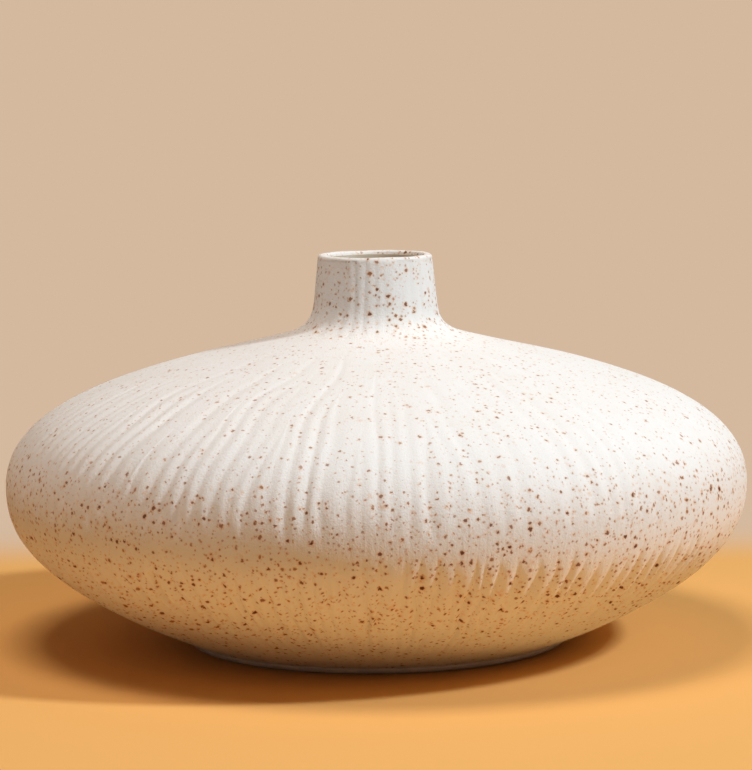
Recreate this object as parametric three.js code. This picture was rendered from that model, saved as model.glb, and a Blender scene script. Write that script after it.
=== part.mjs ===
// Disc vase in speckled stoneware, put together from turned parts while the clay is leather hard.
// A wide bowl and a domed cover lap over each other just under the widest line, a flared neck collar
// drops into the dome, and a low foot ring is set under the bowl. Slip fills the three joints, and a
// glaze lines the hollow. Flutes are cut by hand into the dome, the bowl and, faintly, the neck.
// Millimetres, +Z up, origin at the centre of the foot's underside.
import * as THREE from 'three';

// Height of the whole vase, and the levels at which its outline turns, as a share of that height
const VASE_HEIGHT = 126;
const BELLY_SHARE = 0.4214;
const SHOULDER_SHARE = 0.7881;
const NECK_SHARE = 0.881;
const FOOT_HEIGHT = 1.5;

// Diameters of the outside, and of the way in
const FOOT_DIAMETER = 123.4;
const BASE_DIAMETER = 123.6;
const BELLY_DIAMETER = 240;
const SHOULDER_DIAMETER = 66;
const NECK_DIAMETER = 40;
const RIM_DIAMETER = 36.8;
const BORE_DIAMETER = 31;

// Slopes of the outside, and how far each curve runs on before it turns, as a share of its span
const BASE_SLOPE = THREE.MathUtils.degToRad(22.2);
const SHOULDER_SLOPE = THREE.MathUtils.degToRad(14);
const BASE_RUN = 0.875;
const BELLY_RUN_BELOW = 0.29;
const BELLY_RUN_ABOVE = 0.62;
const SHOULDER_RUN = 0.43;
const FLARE_RUN_OUT = 0.67;
const FLARE_RUN_UP = 0.68;

// Walls
const WALL = 5.5;
const FLOOR_THICKNESS = 8;
const RIM_ROUNDING = 1.2;
const FOOT_WIDTH = 10;
const FOOT_ROUNDING = 0.6;
const GLAZE = 0.6;
const BARE_RIM = 2.5;

// Joints: a lap at the belly, a socket with a spigot at the neck, a shoulder in a recess at the foot
const SLIP = 0.6;
const SLIP_RECESS = 0.3;
const SEAM_DROP = 4.5;
const LAP_HEIGHT = 3;
const LAP_WIDTH = 2.6;
const SOCKET_DIAMETER = 54;
const OPENING_DIAMETER = 40;
const SEAT_THICKNESS = 2.1;
const FOOT_SHOULDER = 2;
const FOOT_LEDGE = 3.5;

// Flutes: how many, how deep, how uneven, how much they fade up the dome, and where they stop
const BOWL_FLUTES = 136;
const DOME_FLUTES = 120;
const BOWL_FLUTE_DEPTH = 0.9;
const DOME_FLUTE_DEPTH = 0.6;
const NECK_FLUTES = 27;
const NECK_FLUTE_DEPTH = 0.3;
const FLUTE_UNEVENNESS = 0.2;
const FLUTE_RHYTHMS = [2.4, 5.1];
const FLUTE_FADE = 0.7;
const BAND_ABOVE_SEAM = 2.5;
const BAND_BELOW_SEAM = 2.7;

// Sides of the round loops: plain hidden ones, and the smooth bands between the flutes
const PLAIN_SIDES = 36;
const BAND_SIDES = 112;
const TURN = 2 * Math.PI;

// Outline of the outside, from the base up to the rim
const baseHeight = FOOT_HEIGHT + SLIP;
const bellyHeight = BELLY_SHARE * VASE_HEIGHT;
const shoulderHeight = SHOULDER_SHARE * VASE_HEIGHT;
const neckHeight = NECK_SHARE * VASE_HEIGHT;
const rimHeight = VASE_HEIGHT;

const base = new THREE.Vector2(BASE_DIAMETER / 2, baseHeight);
const belly = new THREE.Vector2(BELLY_DIAMETER / 2, bellyHeight);
const shoulder = new THREE.Vector2(SHOULDER_DIAMETER / 2, shoulderHeight);
const neckFoot = new THREE.Vector2(NECK_DIAMETER / 2, neckHeight);
const rim = new THREE.Vector2(RIM_DIAMETER / 2, rimHeight);

// A point that lies a given way across from another, on a line of the given slope.
function along(point, across, slope) {
  return new THREE.Vector2(point.x + across, point.y + across * Math.tan(slope));
}

const bowlCurve = new THREE.CubicBezierCurve(
  base,
  along(base, BASE_RUN * (belly.x - base.x), BASE_SLOPE),
  new THREE.Vector2(belly.x, belly.y - BELLY_RUN_BELOW * (belly.y - base.y)),
  belly,
);
const domeCurve = new THREE.CubicBezierCurve(
  belly,
  new THREE.Vector2(belly.x, belly.y + BELLY_RUN_ABOVE * (shoulder.y - belly.y)),
  along(shoulder, SHOULDER_RUN * (belly.x - shoulder.x), -SHOULDER_SLOPE),
  shoulder,
);
const neckLean = new THREE.Vector2().subVectors(rim, neckFoot).divideScalar(rim.y - neckFoot.y);
const flareCurve = new THREE.CubicBezierCurve(
  shoulder,
  along(shoulder, -FLARE_RUN_OUT * (shoulder.x - neckFoot.x), -SHOULDER_SLOPE),
  neckFoot.clone().addScaledVector(neckLean, -FLARE_RUN_UP * (neckFoot.y - shoulder.y)),
  neckFoot,
);
const neckLine = new THREE.LineCurve(neckFoot, rim);

// The point of a curve at a parameter, moved square to the curve into the clay.
function inset(curve, t, depth) {
  const tangent = curve.getTangent(t);
  const inward = new THREE.Vector2(-tangent.y, tangent.x);
  return curve.getPoint(t).addScaledVector(inward, depth);
}

// The parameter at which a measure that rises along a curve reaches a target.
function parameterOf(measure, target) {
  let low = 0;
  let high = 1;
  for (let step = 0; step < 50; step += 1) {
    const middle = (low + high) / 2;
    if (measure(middle) < target) {
      low = middle;
    } else {
      high = middle;
    }
  }
  return (low + high) / 2;
}

// The point at a height of the body, on its outside or as far inside it as depth says.
function bodyAt(height, depth = 0) {
  const curve = height < bellyHeight ? bowlCurve : domeCurve;
  const t = parameterOf((s) => inset(curve, s, depth).y, height);
  return new THREE.Vector2(inset(curve, t, depth).x, height);
}

// Heights and radii of the joints
const seamHeight = bellyHeight - SEAM_DROP;
const seamLow = seamHeight - SLIP / 2;
const seamHigh = seamHeight + SLIP / 2;
const lapLow = seamLow + LAP_HEIGHT;
const lapHigh = seamHigh + LAP_HEIGHT;
const lapRadius = bodyAt(seamHeight, WALL).x + LAP_WIDTH;

const underside = inset(domeCurve, 1, WALL);
const openingRadius = OPENING_DIAMETER / 2;
const throat = along(underside, openingRadius - underside.x, -SHOULDER_SLOPE);
const seatLow = throat.y + SEAT_THICKNESS;
const seatHigh = seatLow + SLIP;
const socketRadius = SOCKET_DIAMETER / 2;
const socketTop = inset(flareCurve, parameterOf((s) => -flareCurve.getPoint(s).x, -socketRadius), 0).y;
const collarRadius = socketRadius - SLIP;
const collarStart = parameterOf((s) => -flareCurve.getPoint(s).x, -collarRadius);
const spigotRadius = openingRadius - SLIP;
const boreRadius = BORE_DIAMETER / 2;

const footRadius = FOOT_DIAMETER / 2;
const footInnerRadius = footRadius - FOOT_WIDTH;
const ledgeRadius = footRadius - FOOT_LEDGE;
const shoulderTop = FOOT_HEIGHT + FOOT_SHOULDER;
const recessHeight = shoulderTop + SLIP;
const recessRadius = ledgeRadius + SLIP;

// The hollow, from the edge of the floor up to the throat: what the clay leaves and the glaze lines
const floorHeight = baseHeight + FLOOR_THICKNESS;
const floorEdge = bodyAt(floorHeight, WALL);
const floorStart = parameterOf((s) => inset(bowlCurve, s, WALL).y, floorHeight);
const lapStart = parameterOf((s) => inset(bowlCurve, s, WALL).y, seamLow);
const HOLLOW_STEPS = 5;
const bowlHollow = [floorEdge];
for (let step = 1; step <= HOLLOW_STEPS; step += 1) {
  bowlHollow.push(inset(bowlCurve, THREE.MathUtils.lerp(floorStart, lapStart, step / HOLLOW_STEPS), WALL));
}
const lapInnerLow = bodyAt(lapLow, WALL);
const lapInnerHigh = bodyAt(lapHigh, WALL);
const domeHollow = [];
for (let step = 1; step <= HOLLOW_STEPS + 1; step += 1) {
  domeHollow.push(inset(domeCurve, step / (HOLLOW_STEPS + 1), WALL));
}

// A point of a section carried round the axis to an angle.
function around(point, angle) {
  const place = new THREE.Vector3(point.x * Math.sin(angle), -point.x * Math.cos(angle), point.y);
  return { angle, place };
}

// A plain loop of a section's point, or the point alone where it lies on the axis.
function plainLoop(point, sides = PLAIN_SIDES) {
  if (point.x === 0) {
    return [around(point, 0)];
  }
  return Array.from({ length: sides }, (_, side) => around(point, (side / sides) * TURN));
}

// Where the ridges stand between hand-cut flutes: evenly paced, with each cut a little off its mark.
function ridgeAngle(ridge, count) {
  const turns = Math.floor(ridge / count);
  const mark = ridge - turns * count;
  const [slow, quick] = FLUTE_RHYTHMS;
  const drift = (FLUTE_UNEVENNESS * (Math.sin(slow * mark) + Math.cos(quick * mark))) / 2;
  return ((mark + drift) / count + turns) * TURN;
}

// A loop with a ridge and a valley for each flute. Every stride-th flute is cut at this level.
function flutedLoop(curve, t, count, depth, stride = 1) {
  const ridgePoint = inset(curve, t, 0);
  const points = [];
  for (let flute = 0; flute < count; flute += stride) {
    const left = ridgeAngle(flute, count);
    const right = ridgeAngle(flute + stride, count);
    const evenWidth = (stride / count) * TURN;
    const valleyPoint = inset(curve, t, (depth * (right - left)) / evenWidth);
    points.push(around(ridgePoint, left));
    points.push(around(valleyPoint, (left + right) / 2));
  }
  return points;
}

// A closed solid from the loops of its section, listed up the outside and down the inside.
// The last loop joins the first, unless the section starts and ends on the axis.
function turned(loops) {
  const positions = [];
  const triangles = [];
  const starts = loops.map((points) => {
    const start = positions.length / 3;
    points.forEach((point) => positions.push(...point.place.toArray()));
    return start;
  });
  const angleOf = (points, n) => points[n % points.length].angle + (n >= points.length ? TURN : 0);
  const stitch = (lower, upper) => {
    const lowerPoints = loops[lower];
    const upperPoints = loops[upper];
    const lowerEdges = lowerPoints.length > 1 ? lowerPoints.length : 0;
    const upperEdges = upperPoints.length > 1 ? upperPoints.length : 0;
    const lowerIndex = (n) => starts[lower] + (n % lowerPoints.length);
    const upperIndex = (n) => starts[upper] + (n % upperPoints.length);
    let a = 0;
    let b = 0;
    while (a < lowerEdges || b < upperEdges) {
      const nextLower = a < lowerEdges ? angleOf(lowerPoints, a + 1) : Infinity;
      const nextUpper = b < upperEdges ? angleOf(upperPoints, b + 1) : Infinity;
      if (nextLower <= nextUpper) {
        triangles.push(lowerIndex(a), lowerIndex(a + 1), upperIndex(b));
        a += 1;
      } else {
        triangles.push(lowerIndex(a), upperIndex(b + 1), upperIndex(b));
        b += 1;
      }
    }
  };
  for (let n = 1; n < loops.length; n += 1) {
    stitch(n - 1, n);
  }
  if (loops[0].length > 1) {
    stitch(loops.length - 1, 0);
  }
  const geometry = new THREE.BufferGeometry();
  geometry.setAttribute('position', new THREE.Float32BufferAttribute(positions, 3));
  geometry.setIndex(triangles);
  geometry.computeVertexNormals();
  return geometry;
}

// A plain turned solid of a section listed up the outside and down the inside.
function lathe(section) {
  const onAxis = section[0].x === 0;
  const profile = onAxis ? section : [...section, section[0]];
  return new THREE.LatheGeometry(profile, PLAIN_SIDES).rotateX(Math.PI / 2);
}

const point = (radius, height) => new THREE.Vector2(radius, height);

// The rounding between two straight faces of a section, as points on a quarter circle.
function quarterRound(centre, radius, from) {
  const ROUND_STEPS = 3;
  const arc = new THREE.EllipseCurve(centre.x, centre.y, radius, radius, from, from + Math.PI / 2);
  return arc.getPoints(ROUND_STEPS);
}

// The bowl: a flat floor with a recess below for the foot, a wall with flutes that fade out towards
// the foot, and the inner half of the lap
function lowerBowl() {
  const bandStart = parameterOf((s) => bowlCurve.getPoint(s).y, seamLow - BAND_BELOW_SEAM);
  const FLUTE_STEPS = 6;
  const flutes = [];
  for (let step = 1; step < FLUTE_STEPS; step += 1) {
    const share = step / FLUTE_STEPS;
    const depth = BOWL_FLUTE_DEPTH * Math.sin(Math.PI * share ** 2);
    flutes.push(flutedLoop(bowlCurve, share * bandStart, BOWL_FLUTES, depth));
  }
  const hidden = [point(lapRadius, seamLow), point(lapRadius, lapLow), lapInnerLow];
  return turned([
    plainLoop(point(0, recessHeight)),
    plainLoop(point(recessRadius, recessHeight)),
    plainLoop(point(recessRadius, baseHeight)),
    plainLoop(base, BAND_SIDES),
    ...flutes,
    plainLoop(bowlCurve.getPoint(bandStart), BAND_SIDES),
    plainLoop(bodyAt(seamLow), BAND_SIDES),
    ...hidden.map((place) => plainLoop(place)),
    ...bowlHollow.toReversed().map((place) => plainLoop(place)),
    plainLoop(point(0, floorHeight)),
  ]);
}

// The dome: the outer half of the lap, a wall with flutes that thin out up the shoulder, and the socket
function upperDome() {
  const FLUTE_START = 0.048;
  const FLUTE_STEPS = 6;
  const THINNED_STEPS = 2;
  const flutes = [];
  for (let step = 0; step <= FLUTE_STEPS; step += 1) {
    const t = THREE.MathUtils.lerp(FLUTE_START, 1, step / FLUTE_STEPS);
    const stride = step > FLUTE_STEPS - THINNED_STEPS ? 2 : 1;
    const depth = DOME_FLUTE_DEPTH * (1 - FLUTE_FADE * t);
    flutes.push(flutedLoop(domeCurve, t, DOME_FLUTES, depth, stride));
  }
  const hidden = [
    point(socketRadius, socketTop),
    point(socketRadius, seatLow),
    point(openingRadius, seatLow),
    throat,
    ...domeHollow.toReversed(),
    lapInnerHigh,
    point(lapRadius + SLIP, lapHigh),
    point(lapRadius + SLIP, seamHigh),
  ];
  return turned([
    plainLoop(bodyAt(seamHigh), BAND_SIDES),
    plainLoop(bodyAt(seamHigh + BAND_ABOVE_SEAM), BAND_SIDES),
    ...flutes,
    ...hidden.map((place) => plainLoop(place)),
  ]);
}

// The collar: a flange in the dome's socket, a spigot in its opening, a flared neck and a rounded rim
function neckCollar() {
  const FLARE_STEPS = 3;
  const NECK_STEPS = 3;
  const outside = [];
  for (let step = 1; step <= FLARE_STEPS; step += 1) {
    const t = THREE.MathUtils.lerp(collarStart, 1, step / FLARE_STEPS);
    outside.push(flutedLoop(flareCurve, t, NECK_FLUTES, (NECK_FLUTE_DEPTH * step) / FLARE_STEPS));
  }
  for (let step = 1; step < NECK_STEPS; step += 1) {
    outside.push(flutedLoop(neckLine, step / NECK_STEPS, NECK_FLUTES, NECK_FLUTE_DEPTH));
  }
  const rimLevel = rimHeight - RIM_ROUNDING;
  const rounding = [
    ...quarterRound(point(rim.x - RIM_ROUNDING, rimLevel), RIM_ROUNDING, 0),
    ...quarterRound(point(boreRadius + RIM_ROUNDING, rimLevel), RIM_ROUNDING, Math.PI / 2),
  ];
  const hidden = [
    point(boreRadius, throat.y),
    point(spigotRadius, throat.y),
    point(spigotRadius, seatHigh),
    point(collarRadius, seatHigh),
  ];
  return turned([
    plainLoop(inset(flareCurve, collarStart, 0)),
    ...outside,
    ...rounding.map((place) => plainLoop(place)),
    ...hidden.map((place) => plainLoop(place)),
  ]);
}

// The foot ring: a low tread with rounded edges, and a shoulder that stands in the bowl's recess
function footRing() {
  return lathe([
    point(footInnerRadius + FOOT_ROUNDING, 0),
    ...quarterRound(point(footRadius - FOOT_ROUNDING, FOOT_ROUNDING), FOOT_ROUNDING, -Math.PI / 2),
    point(footRadius, FOOT_HEIGHT),
    point(ledgeRadius, FOOT_HEIGHT),
    point(ledgeRadius, shoulderTop),
    point(footInnerRadius, shoulderTop),
    point(footInnerRadius, FOOT_ROUNDING),
  ]);
}

// The slip in the belly's lap, drawn in a little from the outside
function bellySlipSeam() {
  const edge = bodyAt(seamHeight).x - SLIP_RECESS;
  return lathe([
    point(lapRadius, seamLow),
    point(edge, seamLow),
    point(edge, seamHigh),
    point(lapRadius + SLIP, seamHigh),
    point(lapRadius + SLIP, lapHigh),
    lapInnerHigh,
    lapInnerLow,
    point(lapRadius, lapLow),
  ]);
}

// The slip in the neck's socket: round the flange, under it and round the spigot
function neckSlipSeam() {
  const top = socketTop - SLIP_RECESS;
  return lathe([
    throat,
    point(openingRadius, seatLow),
    point(socketRadius, seatLow),
    point(socketRadius, top),
    point(collarRadius, top),
    point(collarRadius, seatHigh),
    point(spigotRadius, seatHigh),
    point(spigotRadius, throat.y),
  ]);
}

// The slip between the foot ring and the bowl's recess
function footSlipSeam() {
  return lathe([
    point(ledgeRadius, FOOT_HEIGHT),
    point(footRadius - SLIP_RECESS, FOOT_HEIGHT),
    point(footRadius - SLIP_RECESS, baseHeight),
    point(recessRadius, baseHeight),
    point(recessRadius, recessHeight),
    point(footInnerRadius + SLIP_RECESS, recessHeight),
    point(footInnerRadius + SLIP_RECESS, shoulderTop),
    point(ledgeRadius, shoulderTop),
  ]);
}

// The glaze: a thin coat over the floor, the walls, the throat and the bore, stopping short of the rim
function linerGlaze() {
  const glazeTop = rimHeight - BARE_RIM;
  const outside = [
    ...bowlHollow,
    lapInnerLow,
    lapInnerHigh,
    ...domeHollow,
    throat,
    point(boreRadius, throat.y),
    point(boreRadius, glazeTop),
  ];
  const skin = outside.map((place, n) => {
    const before = outside[Math.max(n - 1, 0)];
    const after = outside[Math.min(n + 1, outside.length - 1)];
    const arriving = new THREE.Vector2().subVectors(place, before).normalize();
    const leaving = new THREE.Vector2().subVectors(after, place).normalize();
    const tangent = arriving.add(leaving).normalize();
    return point(place.x - GLAZE * tangent.y, place.y + GLAZE * tangent.x);
  });
  return lathe([
    point(0, floorHeight),
    ...outside,
    ...skin.toReversed(),
    point(0, skin[0].y),
  ]);
}

const clay = new THREE.MeshStandardMaterial({ color: 0xe8e1d7, roughness: 0.8, metalness: 0 });
const footClay = new THREE.MeshStandardMaterial({ color: 0xcfc5b8, roughness: 0.9, metalness: 0 });
const slipClay = new THREE.MeshStandardMaterial({ color: 0xdad0c2, roughness: 0.9, metalness: 0 });
const glaze = new THREE.MeshStandardMaterial({ color: 0xd9d2c6, roughness: 0.3, metalness: 0 });

const vase = new THREE.Group();

function add(name, geometry, material) {
  const mesh = new THREE.Mesh(geometry, material);
  mesh.name = name;
  vase.add(mesh);
}

add('foot_ring', footRing(), footClay);
add('foot_slip_seam', footSlipSeam(), slipClay);
add('lower_bowl', lowerBowl(), clay);
add('belly_slip_seam', bellySlipSeam(), slipClay);
add('upper_dome', upperDome(), clay);
add('neck_slip_seam', neckSlipSeam(), slipClay);
add('neck_collar', neckCollar(), clay);
add('liner_glaze', linerGlaze(), glaze);

export default vase;
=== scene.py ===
import math

import bpy
import numpy as np
from mathutils import Euler, Matrix, Vector


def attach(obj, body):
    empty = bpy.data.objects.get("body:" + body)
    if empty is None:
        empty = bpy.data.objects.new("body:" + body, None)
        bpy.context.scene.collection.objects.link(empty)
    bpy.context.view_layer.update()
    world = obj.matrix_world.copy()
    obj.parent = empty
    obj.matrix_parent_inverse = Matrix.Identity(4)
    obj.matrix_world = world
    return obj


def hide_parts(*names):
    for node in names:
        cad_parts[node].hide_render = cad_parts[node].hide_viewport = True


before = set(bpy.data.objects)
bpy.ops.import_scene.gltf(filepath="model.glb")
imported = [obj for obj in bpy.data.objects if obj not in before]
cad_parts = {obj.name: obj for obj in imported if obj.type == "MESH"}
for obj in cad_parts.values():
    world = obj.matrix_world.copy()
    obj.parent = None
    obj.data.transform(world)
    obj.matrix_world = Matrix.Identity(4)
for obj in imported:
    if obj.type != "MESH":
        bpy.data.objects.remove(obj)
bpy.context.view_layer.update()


# Foot ring: a low ring of bare stoneware that carries the vase. It is turned on the wheel, its edges are
# wiped round with a sponge, and a shoulder on it stands in a recess under the bowl.
FOOT_RADIUS = 61.7
FOOT_INNER_RADIUS = 51.7
FOOT_LEDGE_RADIUS = 58.2
FOOT_HEIGHT = 1.5
FOOT_TOP = 3.5
FOOT_ROUNDING = 0.6
FOOT_EDGE_WIDTH = 2.6
FOOT_EDGE_STEPS = 10
FOOT_COLUMNS = 448
SHARP_EDGE = 50.0
BARE_CLAY = (0.74, 0.66, 0.56, 1.0)
BARE_CLAY_GREY = (0.64, 0.56, 0.47, 1.0)
BARE_CLAY_PATCH = 9.0
BARE_CLAY_GRAIN = 0.5
BARE_CLAY_ROUGHNESS = 0.8
BARE_CLAY_RELIEF = 0.12
MOTTLE = (0.35, 0.65)
ROUGHNESS_SPREAD = 0.15
CERAMIC_IOR = 1.5
CERAMIC_SHEEN = 0.35


class Tone:
    """One socket of a finish. Arithmetic with it adds Math nodes to that finish."""

    def __init__(self, socket):
        self.socket = socket

    def node(self, kind, settings, sockets, output=0):
        """A new node: its settings first, then the values or links of its sockets."""
        tree = self.socket.id_data
        made = tree.nodes.new(kind)
        for name, value in settings.items():
            setattr(made, name, value)
        for name, value in sockets.items():
            if isinstance(value, Tone):
                tree.links.new(value.socket, made.inputs[name])
            else:
                made.inputs[name].default_value = value
        if not made.outputs:
            return None
        return Tone(made.outputs[output])

    def beside(self, output):
        """Another output of the node that this socket belongs to."""
        return Tone(self.socket.node.outputs[output])

    def maths(self, operation, first, second):
        return self.node("ShaderNodeMath", {"operation": operation}, {0: first, 1: second})

    def __add__(self, other):
        return self.maths("ADD", self, other)

    def __radd__(self, other):
        return self.maths("ADD", other, self)

    def __sub__(self, other):
        return self.maths("SUBTRACT", self, other)

    def __rsub__(self, other):
        return self.maths("SUBTRACT", other, self)

    def __mul__(self, other):
        return self.maths("MULTIPLY", self, other)

    def __rmul__(self, other):
        return self.maths("MULTIPLY", other, self)

    def __truediv__(self, other):
        return self.maths("DIVIDE", self, other)

    def __rtruediv__(self, other):
        return self.maths("DIVIDE", other, self)


def new_finish(name):
    """A bare material, and the place on the vase in millimetres that its pattern follows."""
    material = bpy.data.materials.new(name)
    material.use_nodes = True
    material.node_tree.nodes.clear()
    coordinates = material.node_tree.nodes.new("ShaderNodeTexCoord")
    place = Tone(coordinates.outputs["Object"])
    millimetres = place.node("ShaderNodeVectorMath", {"operation": "SCALE"}, {0: place, "Scale": 1000.0})
    return material, millimetres


def cloud(place, size, detail=2.0):
    """Soft noise from 0 to 1 whose lumps are about size millimetres across."""
    return place.node("ShaderNodeTexNoise", {}, {"Vector": place, "Scale": 1.0 / size, "Detail": detail})


def step_between(value, low, high):
    """0 below low and 1 above high, with a smooth step between them."""
    settings = {"interpolation_type": "SMOOTHSTEP"}
    return value.node("ShaderNodeMapRange", settings, {"Value": value, "From Min": low, "From Max": high})


def blend(amount, first, second):
    """A colour between two colours."""
    return amount.node("ShaderNodeMix", {"data_type": "RGBA"}, {0: amount, 6: first, 7: second}, 2)


def fire(place, colour, roughness, height, relief):
    """Closes a finish: a matt ceramic surface with a relief that is given in millimetres."""
    settings = {"Height": height, "Strength": 1.0, "Distance": relief / 1000.0}
    normal = place.node("ShaderNodeBump", {}, settings)
    sockets = {"Base Color": colour, "Roughness": roughness, "Normal": normal, "IOR": CERAMIC_IOR}
    sockets["Specular IOR Level"] = CERAMIC_SHEEN
    surface = place.node("ShaderNodeBsdfPrincipled", {}, sockets)
    place.node("ShaderNodeOutputMaterial", {}, {"Surface": surface})


def loop(radius, height, angles):
    """Points round the axis, with the front of the vase at angle 0. Millimetres."""
    radius = np.broadcast_to(radius, angles.shape)
    height = np.broadcast_to(height, angles.shape)
    return np.stack([radius * np.sin(angles), -radius * np.cos(angles), height], axis=-1)


def even_angles(columns):
    return np.arange(columns) * 2.0 * math.pi / columns


def turned_solid(name, loops, material, floor=False):
    """A closed piece from loops of points, listed up the outside and down the inside.
    With a floor, the first and the last loop close on points of the axis."""
    loops = np.asarray(loops)
    rows, columns = loops.shape[:2]
    points = list(map(tuple, loops.reshape(-1, 3) / 1000.0))
    faces = []
    following = (np.arange(columns) + 1) % columns
    for row in range(rows - 1 if floor else rows):
        here = row * columns
        above = (row + 1) % rows * columns
        for column in range(columns):
            after = int(following[column])
            faces.append((here + column, here + after, above + after, above + column))
    if floor:
        under = len(points)
        points.append((0.0, 0.0, loops[0, 0, 2] / 1000.0))
        points.append((0.0, 0.0, loops[-1, 0, 2] / 1000.0))
        last = (rows - 1) * columns
        for column in range(columns):
            after = int(following[column])
            faces.append((under, after, column))
            faces.append((last + column, last + after, under + 1))
    mesh = bpy.data.meshes.new(name)
    mesh.from_pydata(points, [], faces)
    mesh.polygons.foreach_set("use_smooth", [True] * len(mesh.polygons))
    mesh.set_sharp_from_angle(angle=math.radians(SHARP_EDGE))
    mesh.materials.append(material)
    piece = bpy.data.objects.new(name, mesh)
    bpy.context.scene.collection.objects.link(piece)
    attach(piece, "root")
    return piece


def arc(centre_radius, centre_height, rounding, start, end, steps):
    """Points of a section on a rounding, from one angle to another in degrees."""
    angles = np.radians(np.linspace(start, end, steps))
    return [(centre_radius + rounding * math.cos(a), centre_height + rounding * math.sin(a)) for a in angles]


def bare_clay_finish():
    material, place = new_finish("foot_clay")
    patches = cloud(place, BARE_CLAY_PATCH, 3.0)
    grain = cloud(place, BARE_CLAY_GRAIN, 3.0)
    colour = blend(step_between(patches * 0.7 + grain * 0.3, *MOTTLE), BARE_CLAY, BARE_CLAY_GREY)
    fire(place, colour, BARE_CLAY_ROUGHNESS + grain * ROUGHNESS_SPREAD, grain, BARE_CLAY_RELIEF)
    return material


foot_section = [(FOOT_INNER_RADIUS + FOOT_ROUNDING, 0.0)]
for across, up in arc(0.0, 1.0, 1.0, -90, 0, FOOT_EDGE_STEPS):
    foot_section.append((FOOT_RADIUS + FOOT_EDGE_WIDTH * (across - 1.0), FOOT_HEIGHT * up))
foot_section += [(FOOT_LEDGE_RADIUS, FOOT_HEIGHT)]
foot_section += [(FOOT_LEDGE_RADIUS, FOOT_TOP), (FOOT_INNER_RADIUS, FOOT_TOP)]
foot_section += arc(FOOT_INNER_RADIUS + FOOT_ROUNDING, FOOT_ROUNDING, FOOT_ROUNDING, 180, 262, 7)
foot_angles = even_angles(FOOT_COLUMNS)
foot_loops = [loop(radius, height, foot_angles) for radius, height in foot_section]
foot = turned_solid("foot", foot_loops, bare_clay_finish())
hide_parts("foot_ring")


# Foot slip: a thin coat of wet clay between the foot ring and the bowl's recess. It holds the two together
# once fired, and its edge is wiped almost level with the outside.
SLIP = 0.6
SLIP_RECESS = 0.3
SLIP_EDGE_RECESS = 0.1
BASE_HEIGHT = FOOT_HEIGHT + SLIP
RECESS_RADIUS = FOOT_LEDGE_RADIUS + SLIP
RECESS_HEIGHT = FOOT_TOP + SLIP
# The slip's two tones are those that the clay shows in the shade by the foot: painted shade.
SLIP_CLAY_SHADE = (0.80, 0.74, 0.66, 1.0)
SLIP_CLAY_SHADE_WARM = (0.74, 0.66, 0.56, 1.0)
SLIP_CLAY_PATCH = 6.0
SLIP_CLAY_GRAIN = 0.4
SLIP_CLAY_ROUGHNESS = 0.75
SLIP_CLAY_RELIEF = 0.08


def slip_finish():
    material, place = new_finish("joint_slip")
    patches = cloud(place, SLIP_CLAY_PATCH, 3.0)
    grain = cloud(place, SLIP_CLAY_GRAIN, 3.0)
    # Painted shade: the slip is coloured as the clay looks in the shade near the foot.
    colour = blend(step_between(patches * 0.6 + grain * 0.4, *MOTTLE), SLIP_CLAY_SHADE, SLIP_CLAY_SHADE_WARM)
    fire(place, colour, SLIP_CLAY_ROUGHNESS + grain * ROUGHNESS_SPREAD, grain, SLIP_CLAY_RELIEF)
    return material


joint_slip = slip_finish()
slip_edge = FOOT_RADIUS - SLIP_EDGE_RECESS
slip_inside = FOOT_INNER_RADIUS + SLIP_RECESS
foot_slip_section = [(FOOT_LEDGE_RADIUS, FOOT_HEIGHT), (slip_edge, FOOT_HEIGHT)]
foot_slip_section += [(FOOT_RADIUS, FOOT_HEIGHT + SLIP / 2), (slip_edge, BASE_HEIGHT)]
foot_slip_section += [(RECESS_RADIUS, BASE_HEIGHT), (RECESS_RADIUS, RECESS_HEIGHT)]
foot_slip_section += [(slip_inside, RECESS_HEIGHT), (slip_inside, FOOT_TOP), (FOOT_LEDGE_RADIUS, FOOT_TOP)]
foot_slip_loops = [loop(radius, height, foot_angles) for radius, height in foot_slip_section]
foot_slip = turned_solid("foot_slip", foot_slip_loops, joint_slip)
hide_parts("foot_slip_seam")


# Bowl: the lower shell, thrown in white stoneware with iron grains in it. Its outside is scored by hand into
# rounded ribs while leather hard, and its upper edge is cut back to half the wall for the lap.
BASE_RADIUS = 61.8
BELLY = (120.0, 53.1)
SHOULDER = (33.0, 99.3)
NECK_FOOT = (20.0, 111.0)
RIM = (18.4, 126.0)
BASE_SLOPE = math.tan(math.radians(22.2))
SHOULDER_SLOPE = math.tan(math.radians(14.0))
BASE_RUN = 0.875
BELLY_RUN_BELOW = 0.29
BELLY_RUN_ABOVE = 0.62
SHOULDER_RUN = 0.43
FLARE_RUN_OUT = 0.67
FLARE_RUN_UP = 0.68
CURVE_POINTS = 400
STRAIGHT_POINTS = 200
INSIDE_POINTS = 900
SEAM_DROP = 4.5
SEAM_LOW = BELLY[1] - SEAM_DROP - SLIP / 2
SEAM_HIGH = SEAM_LOW + SLIP
LAP_HEIGHT = 3.0
LAP_WIDTH = 2.6
LAP_LOW = SEAM_LOW + LAP_HEIGHT
LAP_HIGH = SEAM_HIGH + LAP_HEIGHT
WALL = 5.5
FLOOR_THICKNESS = 8.0
FLOOR_HEIGHT = BASE_HEIGHT + FLOOR_THICKNESS
FLOOR_REACH = 60.0
FLOOR_POINTS = 600
HOLLOW_LOOPS_BELOW = 14
BASE_ROUNDING = 0.8
BASE_EDGE_OUT = 0.25
LUMP_COUNT = 9
LUMP_HEIGHT = 0.1
LUMP_WAVE = 95.0
LUMP_WAVE_STEP = 7.0
LOOP_START = 1.0
LOOP_CLOSE = 0.6
LOOP_SPREAD = 0.08
LOOP_EVEN_REACH = 10.0
BOWL_LOOP_APART = 1.6
BOWL_RIBS = 136
BOWL_SPACING_SPREAD = 0.38
BOWL_STRENGTHS = (0.6, 1.25)
BOWL_DRIFT_WAVES = (23.0, 41.0, 67.0)
BOWL_CHATTER_WAVES = (17.0, 31.0, 57.0)
BOWL_WANDER = 0.12
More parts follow.
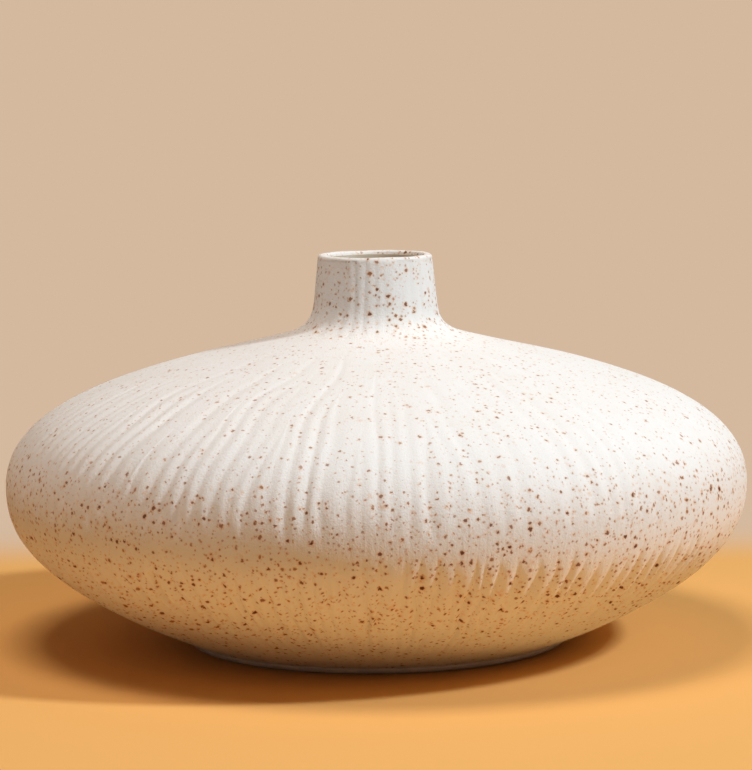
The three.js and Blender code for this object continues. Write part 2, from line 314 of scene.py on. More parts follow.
BOWL_SOFTNESS = 0.4
CHATTER = 0.18
RIB_POINTS = (0.0, 0.07, 0.22, 0.41, 0.59, 0.78, 0.93)
BOWL_GROOVE_TOP = 46.8
BOWL_TOP_SPREAD = 1.8
BOWL_GROOVE_RUN = 14.5
BOWL_GROOVE_HEIGHTS = (2.0, 6.0, 14.0, 22.0, 30.0, 36.0, 42.0, 48.0)
BOWL_GROOVE_DEPTHS = (0.08, 0.15, 0.45, 0.9, 1.3, 1.35, 1.15, 0.9)
CLAY = (0.88, 0.86, 0.83, 1.0)
CLAY_WARM = (0.86, 0.825, 0.78, 1.0)
DARK_IRON = (0.125, 0.030, 0.010, 1.0)
RUST = (0.46, 0.145, 0.025, 1.0)
TAN = (0.78, 0.41, 0.17, 1.0)
CLAY_PATCH = 14.0
CLAY_GRAIN = 0.55
CLAY_PORE = 2.4
CLAY_MOTTLE = (0.3, 0.75)
CLAY_ROUGHNESS = 0.72
CLAY_RELIEF = 0.17
# Between these heights the grains fade on the lit shoulder, a painted highlight, and they come back on the
# neck.
LIT_FADE_HEIGHTS = (57.0, 73.0)
NECK_HEIGHTS = (97.0, 106.0)
SPONGED_HEIGHTS = (3.0, 26.0)
SCRAPED_HEIGHTS = (60.0, 84.0)
GRAIN_LAYERS = (
    {"spacing": 1.4, "largest": 0.46, "share": 0.8, "shift": 11.0, "weight": 0.55},
    {"spacing": 1.9, "largest": 0.62, "share": 0.8, "shift": 37.0, "weight": 0.9},
    {"spacing": 2.9, "largest": 0.82, "share": 0.66, "shift": 71.0, "weight": 1.0},
)
HALO_EDGE = (-1.1, 0.3)
CORE_EDGE = (-0.1, 0.3)
RUST_TO_DARK = (0.25, 0.85)
STROKE_RADIUS = 70.0
STROKE_STRETCH = 0.09
STROKE_WIDTH = 0.9

hand = np.random.default_rng(21)


def bezier(start, leave, arrive, end):
    """Points of a curve between two points, with the two that it leaves and arrives by."""
    t = np.linspace(0.0, 1.0, CURVE_POINTS)[:, None]
    corners = [np.array(corner) for corner in (start, leave, arrive, end)]
    weights = [(1 - t) ** 3, 3 * (1 - t) ** 2 * t, 3 * (1 - t) * t**2, t**3]
    return sum(weight * corner for weight, corner in zip(weights, corners))


def whole_outline():
    """The outside of the whole vase from the base to the rim, as radius and height."""
    base = (BASE_RADIUS, BASE_HEIGHT)
    run = BASE_RUN * (BELLY[0] - BASE_RADIUS)
    rise = BELLY[1] - BASE_HEIGHT
    leave = (BASE_RADIUS + run, BASE_HEIGHT + run * BASE_SLOPE)
    lower = bezier(base, leave, (BELLY[0], BELLY[1] - BELLY_RUN_BELOW * rise), BELLY)
    run = SHOULDER_RUN * (BELLY[0] - SHOULDER[0])
    rise = SHOULDER[1] - BELLY[1]
    leave = (BELLY[0], BELLY[1] + BELLY_RUN_ABOVE * rise)
    upper = bezier(BELLY, leave, (SHOULDER[0] + run, SHOULDER[1] - run * SHOULDER_SLOPE), SHOULDER)
    run = FLARE_RUN_OUT * (SHOULDER[0] - NECK_FOOT[0])
    rise = FLARE_RUN_UP * (NECK_FOOT[1] - SHOULDER[1])
    lean = (RIM[0] - NECK_FOOT[0]) / (RIM[1] - NECK_FOOT[1])
    leave = (SHOULDER[0] - run, SHOULDER[1] + run * SHOULDER_SLOPE)
    flare = bezier(SHOULDER, leave, (NECK_FOOT[0] - rise * lean, NECK_FOOT[1] - rise), NECK_FOOT)
    neck = np.linspace(NECK_FOOT, RIM, STRAIGHT_POINTS)
    return np.concatenate([lower, upper[1:], flare[1:], neck[1:]])


outline = whole_outline()
outline_length = np.concatenate([[0.0], np.cumsum(np.hypot(*np.diff(outline, axis=0).T))])
outline_tangent = np.gradient(outline, outline_length, axis=0)
outline_tangent /= np.hypot(*outline_tangent.T)[:, None]


def on_outline(length):
    """Radius, height and outward direction at lengths along the outline."""
    radius = np.interp(length, outline_length, outline[:, 0])
    height = np.interp(length, outline_length, outline[:, 1])
    across = np.interp(length, outline_length, outline_tangent[:, 1])
    up = -np.interp(length, outline_length, outline_tangent[:, 0])
    return radius, height, across, up


def length_at_height(height):
    """Length along the outline up to a height."""
    return float(np.interp(height, outline[:, 1], outline_length))


def smooth_step(value):
    """0 below 0 and 1 above 1, with a smooth step between them."""
    value = np.clip(value, 0.0, 1.0)
    return value * value * (3.0 - 2.0 * value)


def drift(count, wavelengths):
    """One smooth random curve along the outline for each groove, mostly between -1 and 1."""
    phases = hand.uniform(0.0, 2.0 * math.pi, (len(wavelengths), count))

    def at(length):
        turns = [2.0 * math.pi * length[:, None] / wave for wave in wavelengths]
        waves = [np.sin(turn + phase) for turn, phase in zip(turns, phases)]
        return sum(waves) / math.sqrt(len(wavelengths))

    return at


lump_phases = hand.uniform(0.0, 2.0 * math.pi, (LUMP_COUNT, 2))


def lumps(length, angles):
    """How far the hand-made wall stands off a true turning, in millimetres."""
    total = 0.0
    for number, (first, second) in enumerate(lump_phases):
        turns = number + 2
        wave = LUMP_WAVE - LUMP_WAVE_STEP * number
        along = np.sin(2.0 * math.pi * length[:, None] / wave + second)
        total = total + np.sin(turns * angles + first) * along / math.sqrt(turns)
    return LUMP_HEIGHT * total


def ribbed_skin(length, grooves, depth, reach, softness, shares=RIB_POINTS):
    """Loops of the outside at lengths along the outline, with a rounded rib between each two grooves.
    Depth is each groove's in millimetres, and reach below 1 makes it shallow and narrow towards its end."""
    shares = np.array(shares)
    width = np.diff(np.concatenate([grooves, grooves[:, :1] + 2.0 * math.pi], axis=1), axis=1)
    angles = grooves[:, :, None] + width[:, :, None] * shares
    off = np.abs(2.0 * shares - 1.0)
    fall = (1.0 - softness) * off**2 + softness * 0.5 * (1.0 - np.cos(math.pi * off))
    near_next = shares > 0.5
    depth_here = np.where(near_next, np.roll(depth, -1, axis=1)[:, :, None], depth[:, :, None])
    reach_here = np.where(near_next, np.roll(reach, -1, axis=1)[:, :, None], reach[:, :, None])
    cut = depth_here * reach_here * fall ** (2.0 - reach_here)
    rows = len(length)
    angles = angles.reshape(rows, -1)
    cut = cut.reshape(rows, -1)
    radius, height, outward, upward = (values[:, None] for values in on_outline(length))
    stand = lumps(length, angles) - cut
    return loop(radius + stand * outward, height + stand * upward, angles), angles


def levels(start, end, close_end, close, apart):
    """Lengths along the outline for the loops, close together near one end."""
    found = [start]
    while found[-1] < end:
        near = abs(found[-1] - close_end)
        found.append(found[-1] + min(apart, close + LOOP_SPREAD * max(0.0, near - LOOP_EVEN_REACH)))
    scale = (end - start) / (found[-1] - start)
    return start + (np.array(found) - start) * scale


def wall_inside(start, end, count):
    """The inside of the wall, square to the outside at wall thickness, between two lengths."""
    length = np.linspace(start, end, count)
    radius, height, across, up = on_outline(length)
    return np.stack([radius - WALL * across, height - WALL * up], axis=1)


def inside_radius(height):
    """Radius of the hollow at a height near the belly."""
    section = wall_inside(0.0, length_at_height(SHOULDER[1]), INSIDE_POINTS)
    return float(np.interp(height, section[:, 1], section[:, 0]))


def grains(place, spacing, largest, share, shift, shrink):
    """Iron grains in the clay: how near a point is to one, from 0 to 1 at its middle, and how dark it is.
    Spacing and largest radius are in millimetres, share says how many places hold a grain, and shrink is the
    part of its size that is taken off where the grains are faded as a painted highlight."""
    step = (shift, 0.6 * shift, 0.3 * shift)
    moved = place.node("ShaderNodeVectorMath", {"operation": "ADD"}, {0: place, 1: step})
    bend = place.node("ShaderNodeTexNoise", {}, {"Vector": moved, "Scale": 0.8 / largest, "Detail": 1.0}, 1)
    centred = place.node("ShaderNodeVectorMath", {"operation": "SUBTRACT"}, {0: bend, 1: (0.5, 0.5, 0.5)})
    bent = place.node(
        "ShaderNodeVectorMath",
        {"operation": "MULTIPLY_ADD"},
        {0: centred, 1: (1.5 * largest,) * 3, 2: moved},
    )
    distance = place.node("ShaderNodeTexVoronoi", {}, {"Vector": bent, "Scale": 1.0 / spacing})
    chance = place.node("ShaderNodeSeparateColor", {}, {0: distance.beside(1)})
    size = largest / spacing * (0.4 + 0.6 * chance * chance) * (1.0 - shrink)
    near = 1.0 - distance / size
    here = step_between(share - chance.beside(1), 0.0, 0.001)
    return near, here, 0.6 * chance + 0.4 * chance.beside(2)


def strokes(place):
    """Fine strokes of the scraper, which run up the wall towards the neck."""
    level = place.node("ShaderNodeVectorMath", {"operation": "MULTIPLY"}, {0: place, 1: (1.0, 1.0, 0.0)})
    way = place.node("ShaderNodeVectorMath", {"operation": "NORMALIZE"}, {0: level})
    stretch = (0.0, 0.0, STROKE_STRETCH)
    up = place.node("ShaderNodeVectorMath", {"operation": "MULTIPLY"}, {0: place, 1: stretch})
    settings = {"operation": "MULTIPLY_ADD"}
    reach = (STROKE_RADIUS, STROKE_RADIUS, 0.0)
    spread = place.node("ShaderNodeVectorMath", settings, {0: way, 1: reach, 2: up})
    return cloud(spread, STROKE_WIDTH)


def speckled_finish(name, strength):
    """White stoneware with iron grains in three sizes, each with a rust halo. On the shoulder, where the
    light falls strongest, the grains are made fewer, smaller and paler as a painted highlight, and they come
    back on the neck. The part near the foot is sponged, so that fewer and paler grains show there."""
    material, place = new_finish(name)
    height = place.node("ShaderNodeSeparateXYZ", {}, {0: place}, 2)
    # Painted highlight: the grains fade on the shoulder, where the light falls strongest, and come back on
    # the neck.
    lit_fade = step_between(height, *LIT_FADE_HEIGHTS) - 0.9 * step_between(height, *NECK_HEIGHTS)
    sponged = 1.0 - step_between(height, *SPONGED_HEIGHTS)
    showing = strength - 0.3 * lit_fade - 0.25 * sponged
    left = 1.0 - 0.35 * lit_fade - 0.4 * sponged
    patches = cloud(place, CLAY_PATCH, 3.0)
    grain = cloud(place, CLAY_GRAIN, 3.0)
    pores = cloud(place, CLAY_PORE)
    colour = blend(step_between(patches * 0.65 + grain * 0.35, *CLAY_MOTTLE), CLAY, CLAY_WARM)
    cores = []
    for layer in GRAIN_LAYERS:
        share = layer["share"] * left
        near, here, tone = grains(
            place, layer["spacing"], layer["largest"], share, layer["shift"], 0.2 * lit_fade
        )
        seen = here * showing * layer["weight"]
        halo = step_between(near, *HALO_EDGE) * (0.25 + 0.4 * tone) * seen
        core = step_between(near, *CORE_EDGE) * (0.35 + 0.75 * tone) * seen
        colour = blend(halo, colour, TAN)
        colour = blend(core, colour, blend(step_between(tone, *RUST_TO_DARK), RUST, DARK_IRON))
        cores.append(core)
    iron = sum(cores)
    roughness = CLAY_ROUGHNESS + 0.16 * grain - 0.12 * iron
    scraped = 0.9 - 0.8 * step_between(height, *SCRAPED_HEIGHTS)
    relief = grain * 0.7 + pores * 0.5 + strokes(place) * scraped - 0.25 * iron
    fire(place, colour, roughness, relief, CLAY_RELIEF)
    return material


speckled_clay = speckled_finish("speckled_clay", 1.0)

bowl_width = 1.0 + BOWL_SPACING_SPREAD * hand.uniform(-1.0, 1.0, BOWL_RIBS)
bowl_strength = hand.uniform(*BOWL_STRENGTHS, BOWL_RIBS)
bowl_top = BOWL_GROOVE_TOP + hand.uniform(-BOWL_TOP_SPREAD, BOWL_TOP_SPREAD, BOWL_RIBS)
bowl_drift = drift(BOWL_RIBS, BOWL_DRIFT_WAVES)
bowl_chatter = drift(BOWL_RIBS, BOWL_CHATTER_WAVES)
bowl_seam_length = length_at_height(SEAM_LOW)
bowl_length = levels(LOOP_START, bowl_seam_length, bowl_seam_length, LOOP_CLOSE, BOWL_LOOP_APART)
bowl_heights = on_outline(bowl_length)[1]
groove_share = np.concatenate([[0.0], np.cumsum(bowl_width)])[:-1] / bowl_width.sum()
bowl_grooves = 2.0 * math.pi * (groove_share + BOWL_WANDER / BOWL_RIBS * bowl_drift(bowl_length))
bowl_depth = np.interp(bowl_heights, BOWL_GROOVE_HEIGHTS, BOWL_GROOVE_DEPTHS)
bowl_depth = bowl_depth[:, None] * bowl_strength * (1.0 + CHATTER * bowl_chatter(bowl_length))
bowl_reach = smooth_step((bowl_top - bowl_heights[:, None]) / BOWL_GROOVE_RUN)
bowl_loops, bowl_angles = ribbed_skin(bowl_length, bowl_grooves, bowl_depth, bowl_reach, BOWL_SOFTNESS)

lap_radius = inside_radius(0.5 * (SEAM_LOW + SEAM_HIGH)) + LAP_WIDTH
wall_lengths = np.linspace(0.0, FLOOR_REACH, FLOOR_POINTS)
wall_heights = wall_inside(0.0, FLOOR_REACH, FLOOR_POINTS)[:, 1]
floor_length = float(np.interp(FLOOR_HEIGHT, wall_heights, wall_lengths))
hollow_below = wall_inside(floor_length, bowl_seam_length, HOLLOW_LOOPS_BELOW)
hollow_below = hollow_below[hollow_below[:, 1] < SEAM_LOW]
bottom_angles = bowl_angles[0]
top_angles = bowl_angles[-1]
edge_radius = BASE_RADIUS + BASE_EDGE_OUT - BASE_ROUNDING
edge = arc(edge_radius, BASE_HEIGHT + BASE_ROUNDING, BASE_ROUNDING, -90, -40, 5)
underneath = [(RECESS_RADIUS, RECESS_HEIGHT), (RECESS_RADIUS, BASE_HEIGHT)] + edge
bowl_section = [loop(radius, height, bottom_angles) for radius, height in underneath]
bowl_section += list(bowl_loops)
bowl_section.append(loop(lap_radius, SEAM_LOW, top_angles))
bowl_section.append(loop(lap_radius, LAP_LOW, top_angles))
bowl_section.append(loop(inside_radius(LAP_LOW), LAP_LOW, top_angles))
bowl_section += [loop(radius, height, top_angles) for radius, height in hollow_below[::-1]]
bowl = turned_solid("bowl", bowl_section, speckled_clay, floor=True)
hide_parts("lower_bowl")


# Belly slip: the wet clay in the lap where the dome closes the bowl. It is wiped smooth all round, so that
# only a faint line is left of it in a plain band between the ribs.
BELLY_SLIP_RECESS = 0.01
BELLY_SPECKS = 0.7
SLIP_COLUMNS = 448
SLIP_ROWS = 5

slip_angles = even_angles(SLIP_COLUMNS)
slip_length = np.linspace(bowl_seam_length, length_at_height(SEAM_HIGH), SLIP_ROWS)
slip_lumps = lumps(slip_length, np.broadcast_to(slip_angles, (SLIP_ROWS, SLIP_COLUMNS)))
slip_sink = BELLY_SLIP_RECESS * np.sin(np.linspace(0.0, math.pi, SLIP_ROWS))
belly_slip_loops = [loop(lap_radius, SEAM_LOW, slip_angles)]
for radius, height, across, up, lump, sink in zip(*on_outline(slip_length), slip_lumps, slip_sink):
    stand = lump - sink
    belly_slip_loops.append(loop(radius + stand * across, height + stand * up, slip_angles))
belly_slip_section = [(lap_radius + SLIP, SEAM_HIGH), (lap_radius + SLIP, LAP_HIGH)]
belly_slip_section += [(inside_radius(LAP_HIGH), LAP_HIGH)]
belly_slip_section += [(inside_radius(LAP_LOW), LAP_LOW), (lap_radius, LAP_LOW)]
belly_slip_loops += [loop(radius, height, slip_angles) for radius, height in belly_slip_section]
speckled_slip = speckled_finish("speckled_slip", BELLY_SPECKS)
belly_slip = turned_solid("belly_slip", belly_slip_loops, speckled_slip)
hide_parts("belly_slip_seam")


# Dome: the upper shell of the same speckled stoneware, thrown as a second bowl and turned over. Its grooves
# start above the wiped band, run up the shoulder towards the neck, and merge as the room gets less.
SOCKET_RADIUS = 27.0
OPENING_RADIUS = 20.0
THROAT = 96.87
SEAT_THICKNESS = 2.1
SEAT_LOW = THROAT + SEAT_THICKNESS
HOLLOW_LOOPS_ABOVE = 18
HOLLOW_GAP = 0.2
PAST_BELLY = CURVE_POINTS + CURVE_POINTS // 2
DOME_LOOP_APART = 1.8
DOME_RIBS = 120
DOME_SPACING_SPREAD = 0.28
DOME_STRENGTHS = (0.35, 1.25)
DOME_DRIFT_WAVES = (47.0, 83.0, 131.0)
DOME_CHATTER_WAVES = (23.0, 41.0, 73.0)
DOME_WANDER = 0.11
DOME_SOFTNESS = 1.0
DOME_GROOVE_END = 47.5
DOME_END_SPREAD = 4.0
DOME_RISES = (7.0, 12.0)
MERGE_RADII = (33.0, 38.0, 50.0, 80.0, 116.0)
LIVE_SHARES = (0.24, 0.38, 0.52, 0.71, 1.0)
MERGE_STEP = 0.618034
MERGE_SCATTER = 0.1
MERGE_RUN = 0.35
MERGED_WIDTH = 0.03
NEVER_MERGED = 1.0
CROWDED_FADE = 0.8
QUIET_MIDDLE = 72.0
QUIET_SHARE = 0.5
QUIET_FOCUS = 3.0
DOME_GROOVE_HEIGHTS = (48.0, 58.0, 62.0, 66.0, 72.0, 78.0, 86.0, 95.0, 100.0, 106.0, 126.0)
DOME_GROOVE_DEPTHS = (0.85, 0.85, 0.80, 0.68, 0.52, 0.43, 0.34, 0.21, 0.15, 0.18, 0.20)


def length_at_radius(radius):
    """Length along the outline, past the belly, up to a radius."""
    return float(np.interp(-radius, -outline[PAST_BELLY:, 0], outline_length[PAST_BELLY:]))


socket_length = length_at_radius(SOCKET_RADIUS)
dome_start = length_at_height(SEAM_HIGH)
dome_width = 1.0 + DOME_SPACING_SPREAD * hand.uniform(-1.0, 1.0, DOME_RIBS)
dome_strength = hand.uniform(*DOME_STRENGTHS, DOME_RIBS)
quiet_turn = 2.0 * math.pi * (np.arange(DOME_RIBS) / DOME_RIBS - QUIET_MIDDLE / 360.0)
dome_strength *= 1.0 - QUIET_SHARE * np.exp(QUIET_FOCUS * (np.cos(quiet_turn) - 1.0))
dome_end = DOME_GROOVE_END + hand.uniform(0.0, DOME_END_SPREAD, DOME_RIBS)
dome_rise = hand.uniform(*DOME_RISES, DOME_RIBS)
dome_drift = drift(DOME_RIBS, DOME_DRIFT_WAVES)
dome_chatter = drift(DOME_RIBS, DOME_CHATTER_WAVES)
merge_order = (np.arange(DOME_RIBS) * MERGE_STEP + MERGE_SCATTER * hand.random(DOME_RIBS)) % 1.0
merge_radius = np.interp(merge_order, LIVE_SHARES, MERGE_RADII, left=NEVER_MERGED)


def dome_grooves(length, chosen):
    """Places, depths and reaches of the chosen grooves at lengths along the outline."""
    radius, height = on_outline(length)[:2]
    live = smooth_step(0.5 + (radius[:, None] / merge_radius[chosen] - 1.0) / MERGE_RUN)
    width = dome_width[chosen] * (MERGED_WIDTH + (1.0 - MERGED_WIDTH) * live)
    turn = width / width.sum(axis=1, keepdims=True)
    grooves = np.concatenate([np.zeros((len(length), 1)), np.cumsum(turn, axis=1)[:, :-1]], axis=1)
    room = np.minimum(turn, np.roll(turn, 1, axis=1))
    grooves = 2.0 * math.pi * (grooves + DOME_WANDER * room * dome_drift(length)[:, chosen])
    depth = np.interp(height, DOME_GROOVE_HEIGHTS, DOME_GROOVE_DEPTHS)
    even = 1.0 / live.sum(axis=1, keepdims=True)
    depth = depth[:, None] * dome_strength[chosen] * (1.0 + CHATTER * dome_chatter(length)[:, chosen])
    depth = depth * live * np.minimum(room / even, 1.0) ** CROWDED_FADE
    reach = smooth_step((height[:, None] - dome_end[chosen]) / dome_rise[chosen])
    return grooves, depth, reach


every_groove = np.arange(DOME_RIBS)
dome_length = levels(dome_start, socket_length, dome_start, LOOP_CLOSE, DOME_LOOP_APART)
dome_skin = dome_grooves(dome_length, every_groove)
dome_loops, dome_angles = ribbed_skin(dome_length, *dome_skin, DOME_SOFTNESS)
hollow_above = wall_inside(length_at_height(LAP_HIGH), length_at_height(SHOULDER[1]), HOLLOW_LOOPS_ABOVE)
hollow_above = hollow_above[hollow_above[:, 1] > LAP_HIGH + HOLLOW_GAP]
dome_seat = [(SOCKET_RADIUS, SEAT_LOW), (OPENING_RADIUS, SEAT_LOW), (OPENING_RADIUS, THROAT)]
dome_hollow = list(map(tuple, hollow_above[::-1]))
dome_lap = [(inside_radius(LAP_HIGH), LAP_HIGH)]
dome_lap += [(lap_radius + SLIP, LAP_HIGH), (lap_radius + SLIP, SEAM_HIGH)]
dome_solid = list(dome_loops)
for number, (radius, height) in enumerate(dome_seat + dome_hollow + dome_lap):
    way = smooth_step((number + 1 - len(dome_seat)) / (len(dome_hollow) + 1))
    dome_solid.append(loop(radius, height, (1.0 - way) * dome_angles[-1] + way * dome_angles[0]))
dome = turned_solid("dome", dome_solid, speckled_clay)
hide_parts("upper_dome")


# Neck slip: the wet clay round the collar's flange and spigot in the dome's socket. It is smoothed over with
# the same speckled clay, so that the neck seems to grow out of the shoulder.
COLLAR_RADIUS = SOCKET_RADIUS - SLIP
SPIGOT_RADIUS = OPENING_RADIUS - SLIP
SEAT_HIGH = SEAT_LOW + SLIP
NECK_RIB_STEPS = 16
NECK_POINTS = np.arange(NECK_RIB_STEPS) / NECK_RIB_STEPS
NECK_SLIP_LOOPS = 3
NECK_SLIP_SOFTNESS = 0.25

collar_length = length_at_radius(COLLAR_RADIUS)
neck_ribs = np.flatnonzero(merge_radius == NEVER_MERGED)
neck_slip_length = np.linspace(socket_length, collar_length, NECK_SLIP_LOOPS)
neck_slip_skin, neck_slip_angles = ribbed_skin(
    neck_slip_length, *dome_grooves(neck_slip_length, neck_ribs), NECK_SLIP_SOFTNESS, NECK_POINTS
)
neck_angles = neck_slip_angles[0]
neck_slip_section = [(COLLAR_RADIUS, SEAT_HIGH), (SPIGOT_RADIUS, SEAT_HIGH), (SPIGOT_RADIUS, THROAT)]
neck_slip_section += [(OPENING_RADIUS, THROAT), (OPENING_RADIUS, SEAT_LOW), (SOCKET_RADIUS, SEAT_LOW)]
neck_slip_loops = list(neck_slip_skin)
neck_slip_loops += [loop(radius, height, neck_angles) for radius, height in neck_slip_section]
neck_slip = turned_solid("neck_slip", neck_slip_loops, speckled_clay)
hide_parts("neck_slip_seam")


# Neck: a short collar of the speckled stoneware with a flared root and a soft uneven lip. It is thrown by
# itself, set into the dome's socket on a spigot, and lightly scored and wiped after that.
BORE_RADIUS = 15.5
BORE_MIDDLE = 107.0
BORE_UPPER = 118.0
LIP_ROUNDING = 1.05
LIP_STEPS = 7
LIP_TILT = 0.1
LIP_WAVES = ((0.07, 3.0, 0.7), (0.05, 7.0, 0.0))
NECK_LOOPS = 40
NECK_SOFTNESS = 0.4
NECK_LEAN = 0.3
LEAN_FROM = 102.0
LEAN_RUN = 10.0

lip_length = outline_length[-1] - LIP_ROUNDING
neck_length = np.linspace(collar_length, lip_length, NECK_LOOPS)
neck_skin, neck_skin_angles = ribbed_skin(
    neck_length, *dome_grooves(neck_length, neck_ribs), NECK_SOFTNESS, NECK_POINTS
)
lip_angles = neck_skin_angles[-1]
lip_level = RIM[1] - LIP_ROUNDING
lip_outer = float(np.interp(lip_length, outline_length, outline[:, 0]))
lip_section = arc(lip_outer - LIP_ROUNDING, lip_level, LIP_ROUNDING, 12, 90, LIP_STEPS)
lip_section += arc(BORE_RADIUS + LIP_ROUNDING, lip_level, LIP_ROUNDING, 90, 180, LIP_STEPS)
neck_section = [(BORE_RADIUS, BORE_UPPER), (BORE_RADIUS, LEAN_FROM + LEAN_RUN)]
neck_section += [(BORE_RADIUS, BORE_MIDDLE), (BORE_RADIUS, LEAN_FROM), (BORE_RADIUS, THROAT)]
neck_section += [(SPIGOT_RADIUS, THROAT), (SPIGOT_RADIUS, SEAT_HIGH), (COLLAR_RADIUS, SEAT_HIGH)]
neck_solid = list(neck_skin)
neck_solid += [loop(radius, height, lip_angles) for radius, height in lip_section + neck_section]
neck_solid = np.array(neck_solid)
wave = sum(tall * np.sin(turns * lip_angles + start) for tall, turns, start in LIP_WAVES)
near_lip = smooth_step((neck_solid[:, :, 2] - NECK_FOOT[1]) / (RIM[1] - NECK_FOOT[1]))
neck_solid[:, :, 2] += (wave - LIP_TILT * (1.0 + np.cos(lip_angles))) * near_lip
neck_solid[:, :, 0] += NECK_LEAN * smooth_step((neck_solid[:, :, 2] - LEAN_FROM) / LEAN_RUN)
neck = turned_solid("neck", neck_solid, speckled_clay)
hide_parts("neck_collar")


# Liner glaze: a thin satin glaze poured round the inside so that the vase holds water. It covers the floor,
# the walls and the bore, and stops a little below the lip.
GLAZE = 0.6
GLAZE_TOP = 124.8
GLAZE_COLUMNS = 144
GLAZE_PALE = (0.87, 0.77, 0.63, 1.0)
GLAZE_DEEP = (0.76, 0.64, 0.49, 1.0)
GLAZE_RUNS = 11.0
GLAZE_GRAIN = 0.8
GLAZE_ROUGHNESS = 0.32
GLAZE_RELIEF = 0.2


def glaze_finish():
    material, place = new_finish("liner_glaze")
    runs = cloud(place, GLAZE_RUNS)
    grain = cloud(place, GLAZE_GRAIN)
    colour = blend(step_between(runs * 0.8 + grain * 0.2, *MOTTLE), GLAZE_PALE, GLAZE_DEEP)
    fire(place, colour, GLAZE_ROUGHNESS + 0.12 * runs, runs, GLAZE_RELIEF)
    return material


glaze_angles = even_angles(GLAZE_COLUMNS)
glaze_outside = list(map(tuple, hollow_below))
glaze_outside += [(inside_radius(LAP_LOW), LAP_LOW), (inside_radius(LAP_HIGH), LAP_HIGH)]
glaze_outside += list(map(tuple, hollow_above))
glaze_outside += [(OPENING_RADIUS, THROAT), (BORE_RADIUS, THROAT)]
glaze_outside += [(BORE_RADIUS, LEAN_FROM), (BORE_RADIUS, BORE_MIDDLE)]
glaze_outside += [(BORE_RADIUS, LEAN_FROM + LEAN_RUN), (BORE_RADIUS, GLAZE_TOP)]
glaze_outside = np.array(glaze_outside)
glaze_steps = np.diff(glaze_outside, axis=0)
glaze_steps /= np.hypot(*glaze_steps.T)[:, None]
glaze_way = np.concatenate([glaze_steps[:1], glaze_steps[:-1] + glaze_steps[1:], glaze_steps[-1:]])
glaze_way /= np.hypot(*glaze_way.T)[:, None]
glaze_inside = glaze_outside + GLAZE * np.stack([-glaze_way[:, 1], glaze_way[:, 0]], axis=1)
glaze_section = np.concatenate([glaze_outside, glaze_inside[::-1]])
glaze_loops = np.array([loop(radius, height, glaze_angles) for radius, height in glaze_section])
glaze_loops[:, :, 0] += NECK_LEAN * smooth_step((glaze_loops[:, :, 2] - LEAN_FROM) / LEAN_RUN)
glaze = turned_solid("glaze", glaze_loops, glaze_finish(), floor=True)
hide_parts("liner_glaze")


# Studio floor: a plain sweep of painted board that the vase stands on, which curves up far behind it. Away
# from the vase it is painted pale behind and dark in front, and the camera sees an even background there.
# The places where its tones change are in millimetres, as the vase's sizes are, and the board is in metres.
FLOOR_COLOUR = (0.84, 0.45, 0.14, 1.0)
WALL_COLOUR = (0.74, 0.58, 0.44, 1.0)
WALL_SEEN = (0.66, 0.485, 0.345, 1.0)
FRONT_COLOUR = (0.20, 0.16, 0.13, 1.0)
WALL_FROM = 140.0
WALL_FULL = 270.0
FRONT_FROM = -200.0
FRONT_FULL = -290.0
DARK_FROM = -262.0
DARK_FULL = -300.0
POOL_FROM = 420.0
POOL_FULL = 900.0
FLOOR_LEVEL = -0.0001
FLOOR_HALF_WIDTH = 3.0
FLOOR_FRONT = -2.4
FLOOR_BACK = 2.0
SWEEP = 0.5
SWEEP_STEPS = 12
BACK_HEIGHT = 2.6

floor_section = [(FLOOR_FRONT, FLOOR_LEVEL), (FLOOR_BACK, FLOOR_LEVEL)]
for number in range(1, SWEEP_STEPS + 1):
    turn = math.radians(90.0 * number / SWEEP_STEPS)
    rise = FLOOR_LEVEL + SWEEP - SWEEP * math.cos(turn)
    floor_section.append((FLOOR_BACK + SWEEP * math.sin(turn), rise))
floor_section.append((FLOOR_BACK + SWEEP, BACK_HEIGHT))
floor_points = []
for y, z in floor_section:
    floor_points += [(-FLOOR_HALF_WIDTH, y, z), (FLOOR_HALF_WIDTH, y, z)]
floor_faces = [(2 * n, 2 * n + 1, 2 * n + 3, 2 * n + 2) for n in range(len(floor_section) - 1)]
floor_mesh = bpy.data.meshes.new("floor")
floor_mesh.from_pydata(floor_points, [], floor_faces)
floor_mesh.polygons.foreach_set("use_smooth", [True] * len(floor_mesh.polygons))
floor_paint, floor_place = new_finish("floor_paint")
floor_depth = floor_place.node("ShaderNodeSeparateXYZ", {}, {0: floor_place}, 1)
floor_reach = floor_place.node("ShaderNodeVectorMath", {"operation": "LENGTH"}, {0: floor_place}, 1)
floor_behind = step_between(floor_depth, WALL_FROM, WALL_FULL)
floor_round = step_between(floor_reach, POOL_FROM, POOL_FULL)
floor_back = step_between(floor_depth, FRONT_FULL, FRONT_FROM)
floor_far = 1.0 - (1.0 - floor_behind) * (1.0 - floor_round) * floor_back
floor_lit = step_between(floor_depth, DARK_FULL, DARK_FROM)
floor_tone = blend(floor_lit, FRONT_COLOUR, blend(floor_far, FLOOR_COLOUR, WALL_COLOUR))
floor_matt = floor_place.node(
    "ShaderNodeBsdfPrincipled", {}, {"Base Color": floor_tone, "Roughness": 0.9, "Specular IOR Level": 0.1}
)
floor_even = floor_place.node("ShaderNodeEmission", {}, {"Color": WALL_SEEN, "Strength": 1.0})
floor_rays = floor_place.node("ShaderNodeLightPath", {}, {})
floor_shown = floor_rays + floor_rays.beside("Is Glossy Ray") + floor_rays.beside("Is Transmission Ray")
floor_surface = floor_place.node(
    "ShaderNodeMixShader", {}, {0: floor_far * floor_shown, 1: floor_matt, 2: floor_even}
)
floor_place.node("ShaderNodeOutputMaterial", {}, {"Surface": floor_surface})
floor_mesh.materials.append(floor_paint)
floor = bpy.data.objects.new("floor", floor_mesh)
bpy.context.scene.collection.objects.link(floor)


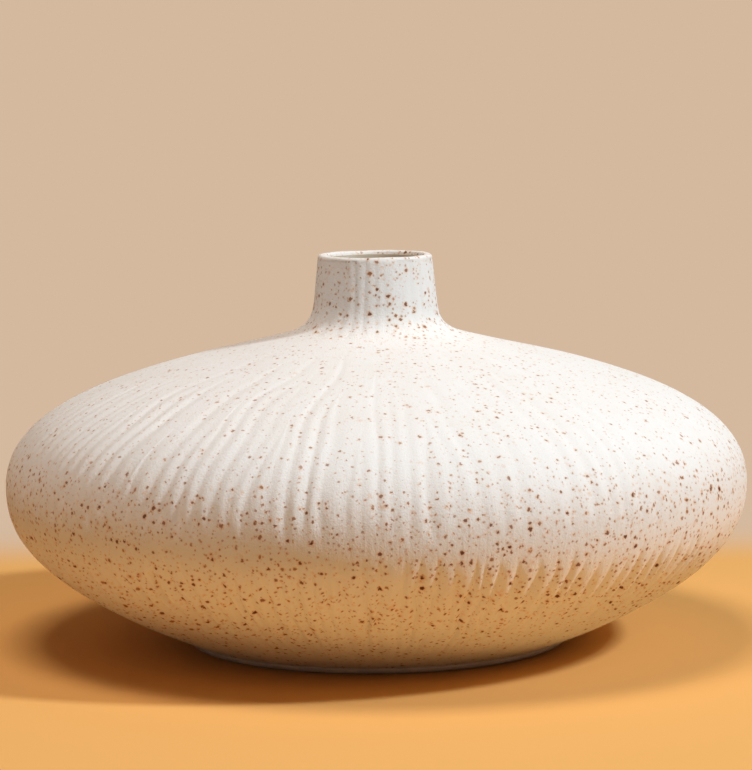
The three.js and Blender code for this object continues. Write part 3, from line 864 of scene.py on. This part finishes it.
# Studio light: a small soft box on the right, a little in front and half way up, a larger one overhead, and
# weak pale light from all round.
KEY_FROM = Vector((0.70, -0.29, 0.64))
KEY_AIM = Vector((0.0, 0.0, 0.06))
KEY_DISTANCE = 2.2
KEY_SIZE = 0.22
KEY_POWER = 35.8
KEY_LIGHT = (0.79, 0.91, 1.0)
TOP_PLACE = (-0.2, -0.3, 1.6)
TOP_SIZE = 0.6
TOP_POWER = 13.8
TOP_LIGHT = (1.0, 0.87, 0.765)
ROOM_LIGHT = (1.0, 0.88, 0.88, 1.0)
ROOM_STRENGTH = 0.09


def soft_box(name, place, facing, size, power, colour):
    data = bpy.data.lights.new(name, "AREA")
    data.energy = power
    data.size = size
    data.color = colour
    box = bpy.data.objects.new(name, data)
    box.location = place
    box.rotation_euler = facing.to_track_quat("Z", "Y").to_euler()
    bpy.context.scene.collection.objects.link(box)


soft_box("key", KEY_AIM + KEY_FROM * KEY_DISTANCE, KEY_FROM, KEY_SIZE, KEY_POWER, KEY_LIGHT)
soft_box("overhead", TOP_PLACE, Vector((0.0, 0.0, 1.0)), TOP_SIZE, TOP_POWER, TOP_LIGHT)
room = bpy.data.worlds.new("room")
room.use_nodes = True
room.node_tree.nodes.clear()
room_rays = Tone(room.node_tree.nodes.new("ShaderNodeLightPath").outputs[0])
room_shown = room_rays + room_rays.beside("Is Glossy Ray") + room_rays.beside("Is Transmission Ray")
room_glow = room_rays.node("ShaderNodeBackground", {}, {"Color": ROOM_LIGHT, "Strength": ROOM_STRENGTH})
room_even = room_rays.node("ShaderNodeBackground", {}, {"Color": WALL_SEEN, "Strength": 1.0})
room_surface = room_rays.node("ShaderNodeMixShader", {}, {0: room_shown, 1: room_glow, 2: room_even})
room_rays.node("ShaderNodeOutputWorld", {}, {"Surface": room_surface})
bpy.context.scene.world = room
bpy.context.scene.view_settings.view_transform = "Standard"


# Camera: a long lens a metre away and a little above the vase, which looks slightly down at its front, for a
# frame of 752 by 770 pixels.
CAMERA_PLACE = (0.0002, -1.016, 0.1958)
CAMERA_DOWN = 6.32
CAMERA_ROLL = -0.6
FOCAL_PIXELS = 3146.0
FRAME_HEIGHT = 770.0
SENSOR = 36.0

camera_data = bpy.data.cameras.new("camera")
camera_data.sensor_width = SENSOR
camera_data.lens = FOCAL_PIXELS * SENSOR / FRAME_HEIGHT
camera = bpy.data.objects.new("camera", camera_data)
camera.location = CAMERA_PLACE
facing = Euler((math.radians(90.0 - CAMERA_DOWN), 0.0, 0.0)).to_matrix()
camera.rotation_euler = (facing @ Matrix.Rotation(math.radians(CAMERA_ROLL), 3, "Z")).to_euler()
bpy.context.scene.collection.objects.link(camera)
bpy.context.scene.camera = camera
